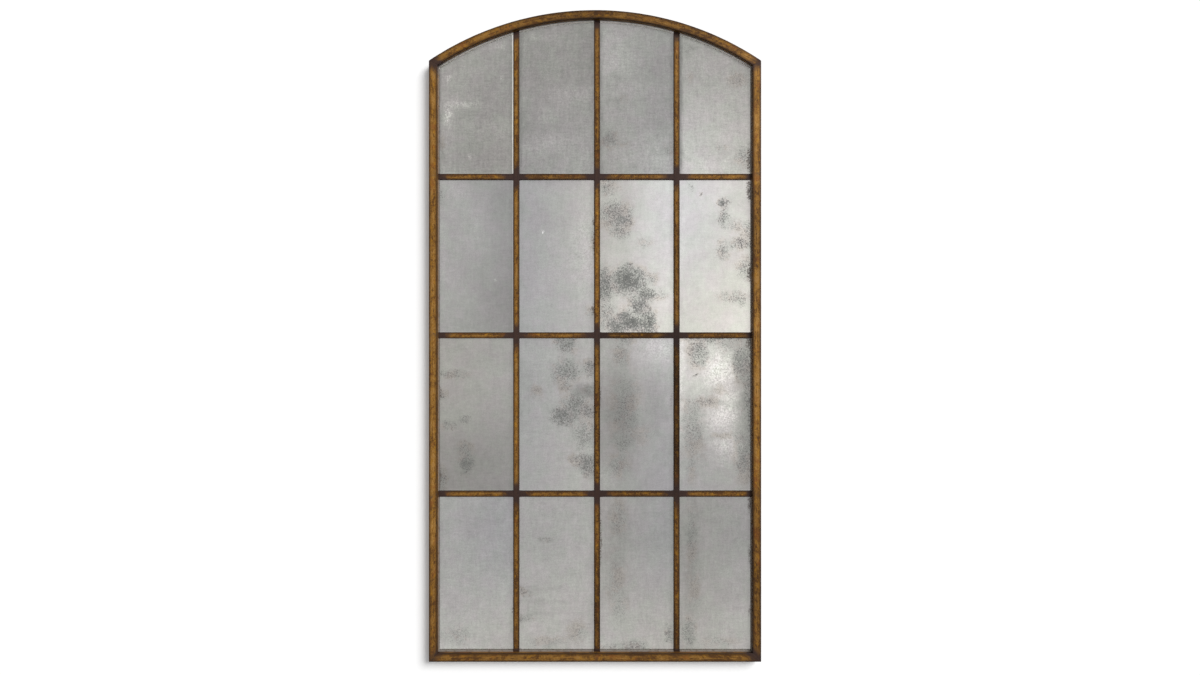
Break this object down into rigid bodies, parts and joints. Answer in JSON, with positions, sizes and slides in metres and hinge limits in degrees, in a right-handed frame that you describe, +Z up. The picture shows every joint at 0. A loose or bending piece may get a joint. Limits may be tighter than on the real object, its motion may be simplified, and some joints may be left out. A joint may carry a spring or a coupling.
{
  "type": "arched window-pane mirror",
  "caption": "Tall wall mirror with an arched top: welded steel tube frame, flat glazing bars over separate antiqued mirror panes, clipped backing board and D-ring hangers.",
  "frame": {"origin": "middle of the bottom rail's underside, at half the frame's depth", "axes": "+X to the viewer's right, +Y out of the back towards the wall, +Z up; the mirror's front faces -Y"},
  "size_m": [1.067, 0.036, 2.092],
  "materials": {
    "frame_finish": "satin antique gold-brown",
    "bar_finish": "satin antique gold-brown, darker at the joints",
    "mirror_glass": "antiqued silvering with foxing",
    "foam_tape": "matt",
    "board": "matt, dark stained fibreboard",
    "zinc": "zinc plated",
    "bumper_rubber": "matt"
  },
  "bodies": {
    "mirror_frame": {"left_stile": "frame_finish", "right_stile": "frame_finish", "bottom_rail": "frame_finish", "arch_head": "frame_finish", "glazing_bar_1": "bar_finish", "glazing_bar_2": "bar_finish", "glazing_bar_3": "bar_finish", "cross_bar_1_1": "bar_finish", "cross_bar_1_2": "bar_finish", "cross_bar_1_3": "bar_finish", "cross_bar_1_4": "bar_finish", "cross_bar_2_1": "bar_finish", "cross_bar_2_2": "bar_finish", "cross_bar_2_3": "bar_finish", "cross_bar_2_4": "bar_finish", "cross_bar_3_1": "bar_finish", "cross_bar_3_2": "bar_finish", "cross_bar_3_3": "bar_finish", "cross_bar_3_4": "bar_finish", "stop_strips": "bar_finish", "mirror_pane_1_1": "mirror_glass", "mirror_pane_1_2": "mirror_glass", "mirror_pane_1_3": "mirror_glass", "mirror_pane_1_4": "mirror_glass", "mirror_pane_2_1": "mirror_glass", "mirror_pane_2_2": "mirror_glass", "mirror_pane_2_3": "mirror_glass", "mirror_pane_2_4": "mirror_glass", "mirror_pane_3_1": "mirror_glass", "mirror_pane_3_2": "mirror_glass", "mirror_pane_3_3": "mirror_glass", "mirror_pane_3_4": "mirror_glass", "mirror_pane_4_1": "mirror_glass", "mirror_pane_4_2": "mirror_glass", "mirror_pane_4_3": "mirror_glass", "mirror_pane_4_4": "mirror_glass", "glazing_tape": "foam_tape", "backing_board": "board", "backing_clips": "zinc", "clip_screws": "zinc", "hanger_strap_left": "zinc", "hanger_strap_right": "zinc", "hanger_screws": "zinc", "wall_bumpers": "bumper_rubber"},
    "ring_left": {"d_ring_left": "zinc"},
    "ring_right": {"d_ring_right": "zinc"}
  },
  "joints": [
    {"name": "ring_left_swing", "type": "hinge", "parent": "mirror_frame", "child": "ring_left", "pos_m": [-0.5195, 0.0171, 1.67], "axis": [1, 0, 0], "range_deg": [0, 180]},
    {"name": "ring_right_swing", "type": "hinge", "parent": "mirror_frame", "child": "ring_right", "pos_m": [0.5195, 0.0171, 1.67], "axis": [1, 0, 0], "range_deg": [0, 180]}
  ]
}
